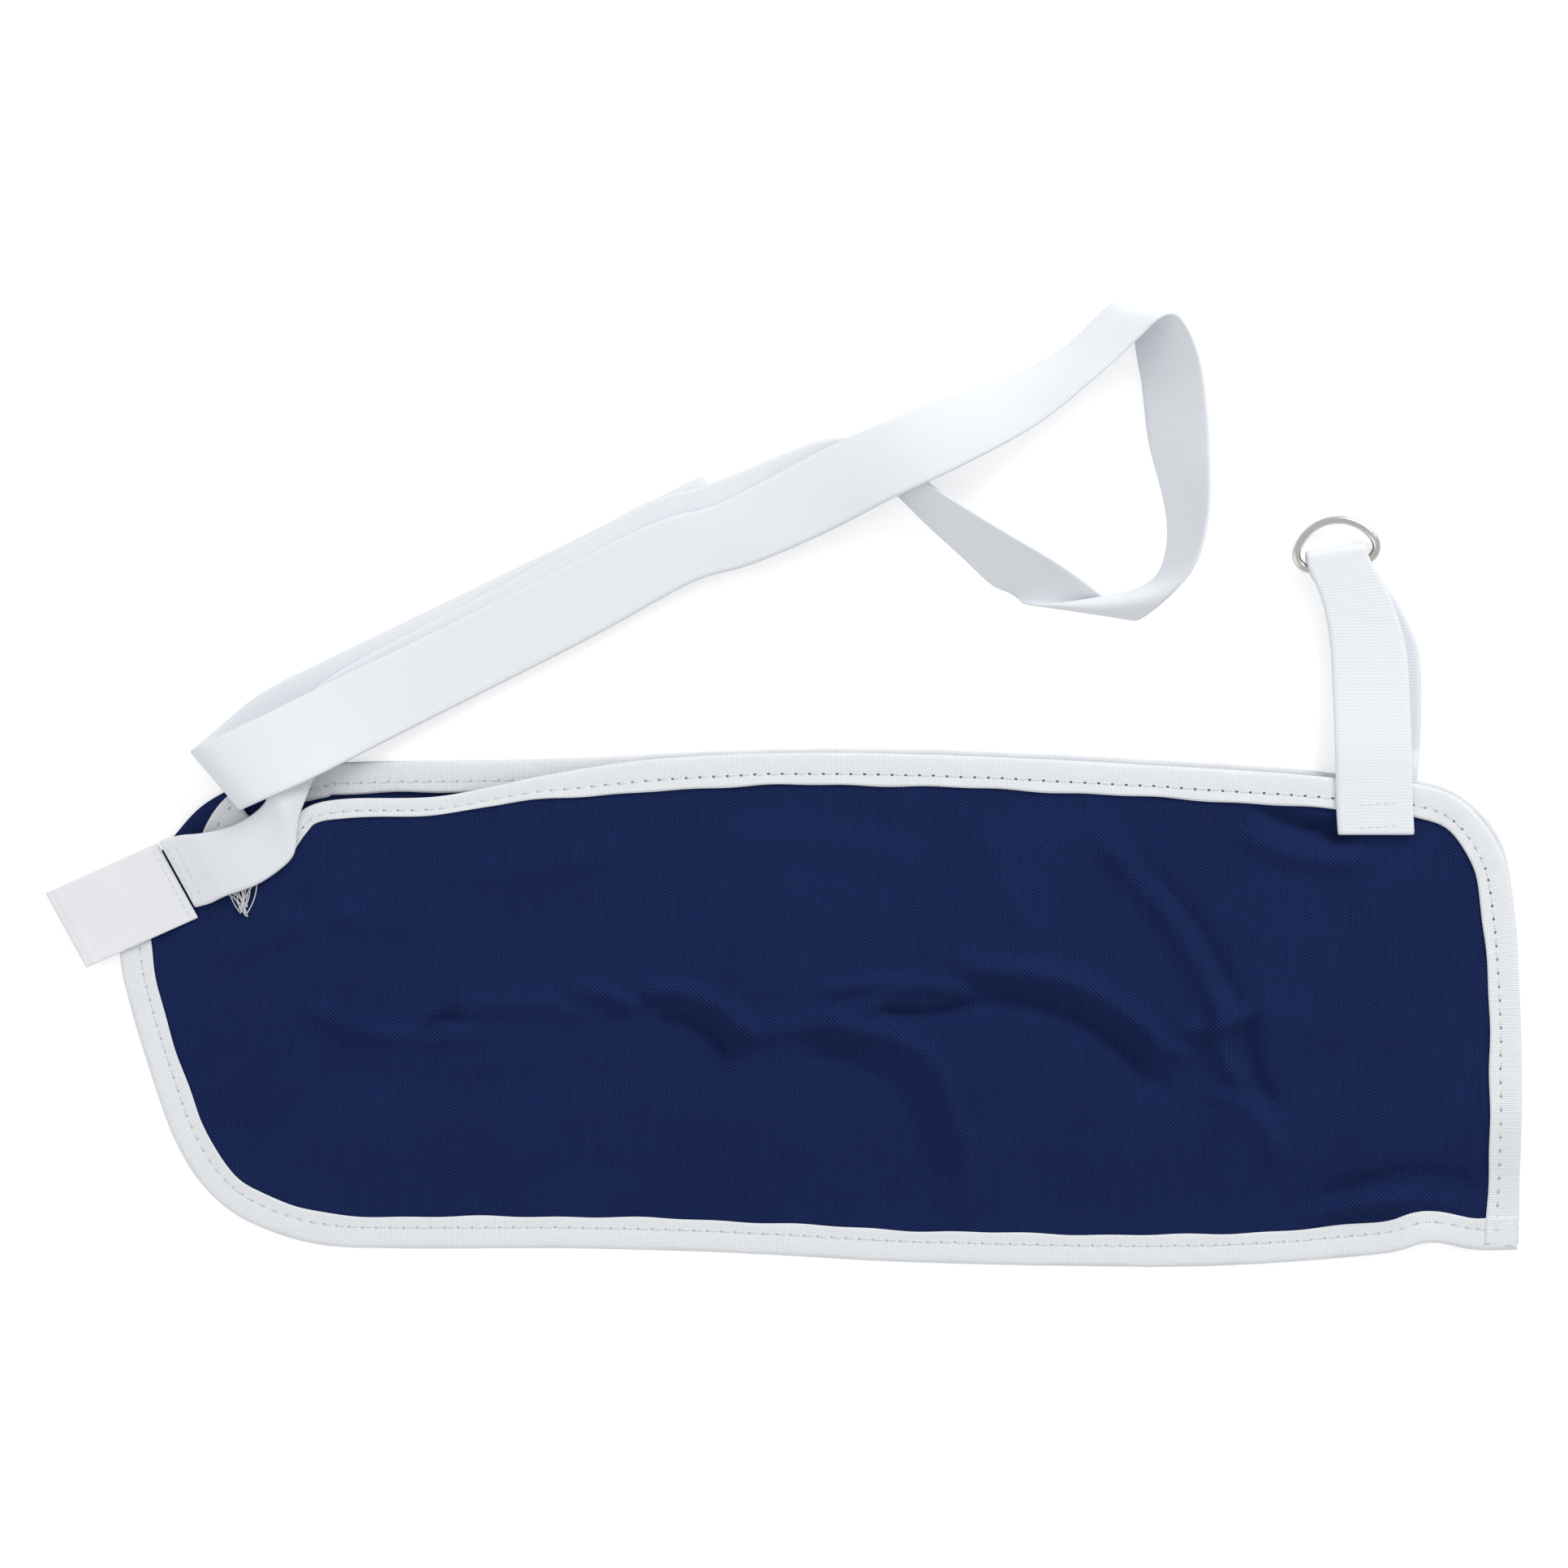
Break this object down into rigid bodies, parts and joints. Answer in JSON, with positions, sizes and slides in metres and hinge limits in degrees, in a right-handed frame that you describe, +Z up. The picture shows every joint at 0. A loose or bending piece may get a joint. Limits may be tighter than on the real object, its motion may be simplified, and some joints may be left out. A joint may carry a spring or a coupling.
{
  "type": "arm sling",
  "caption": "Envelope arm sling lying flat: bound cloth pouch open at mouth and hand end, webbing tab with D-ring, and a looped shoulder strap sewn on at the elbow corner.",
  "frame": {"origin": "middle of the bounding box in plan, on the surface the sling lies on", "axes": "+X along the pouch from the elbow end to the hand end, +Y from the bottom seam to the mouth, +Z up from the surface"},
  "size_m": [0.508, 0.3327, 0.0234],
  "materials": {
    "navy_cloth": "matt navy cloth with a fine dotted knit",
    "white_tape": "ribbed woven binding tape",
    "white_thread": "polyester sewing thread",
    "white_webbing": "soft smooth webbing",
    "label_satin": "bare satin",
    "hook_tape": "hook side of touch tape",
    "nickel": "nickel plate, softly worn"
  },
  "bodies": {
    "pouch": {"back_panel": "navy_cloth", "back_panel_corner": "navy_cloth", "front_panel": "navy_cloth", "back_edge_binding": "white_tape", "back_edge_stitching": "white_thread", "front_edge_binding_ends": "white_tape", "seam_binding": "white_tape", "seam_stitching": "white_thread", "ring_tab_sewn_end": "white_webbing"},
    "flap": {"front_panel_flap": "navy_cloth", "front_edge_binding": "white_tape", "front_edge_stitching": "white_thread", "ring_tab": "white_webbing", "tab_stitching": "white_thread"},
    "ring": {"d_ring": "nickel"},
    "strap": {"shoulder_strap": "white_webbing", "strap_stitching": "white_thread", "hook_patch": "hook_tape", "hook_stitching": "white_thread"},
    "label": {"label": "label_satin", "label_stitching": "white_thread"}
  },
  "joints": [
    {"name": "mouth_open", "type": "hinge", "parent": "pouch", "child": "flap", "pos_m": [0.253, -0.134, 0.0081], "axis": [0.9574, -0.2887, 0], "range_deg": [0, 15]},
    {"name": "ring_swivel", "type": "hinge", "parent": "flap", "child": "ring", "pos_m": [0.191, 0.0755, 0.0034], "axis": [0.9877, 0.1564, 0], "range_deg": [0, 140]},
    {"name": "strap_lift", "type": "hinge", "parent": "pouch", "child": "strap", "pos_m": [-0.2085, -0.031, 0.005], "axis": [0.48, -0.8773, 0], "range_deg": [0, 60]},
    {"name": "label_flip", "type": "hinge", "parent": "pouch", "child": "label", "pos_m": [-0.209, -0.0333, 0.0046], "axis": [-0.48, 0.8773, 0], "range_deg": [0, 80]}
  ]
}
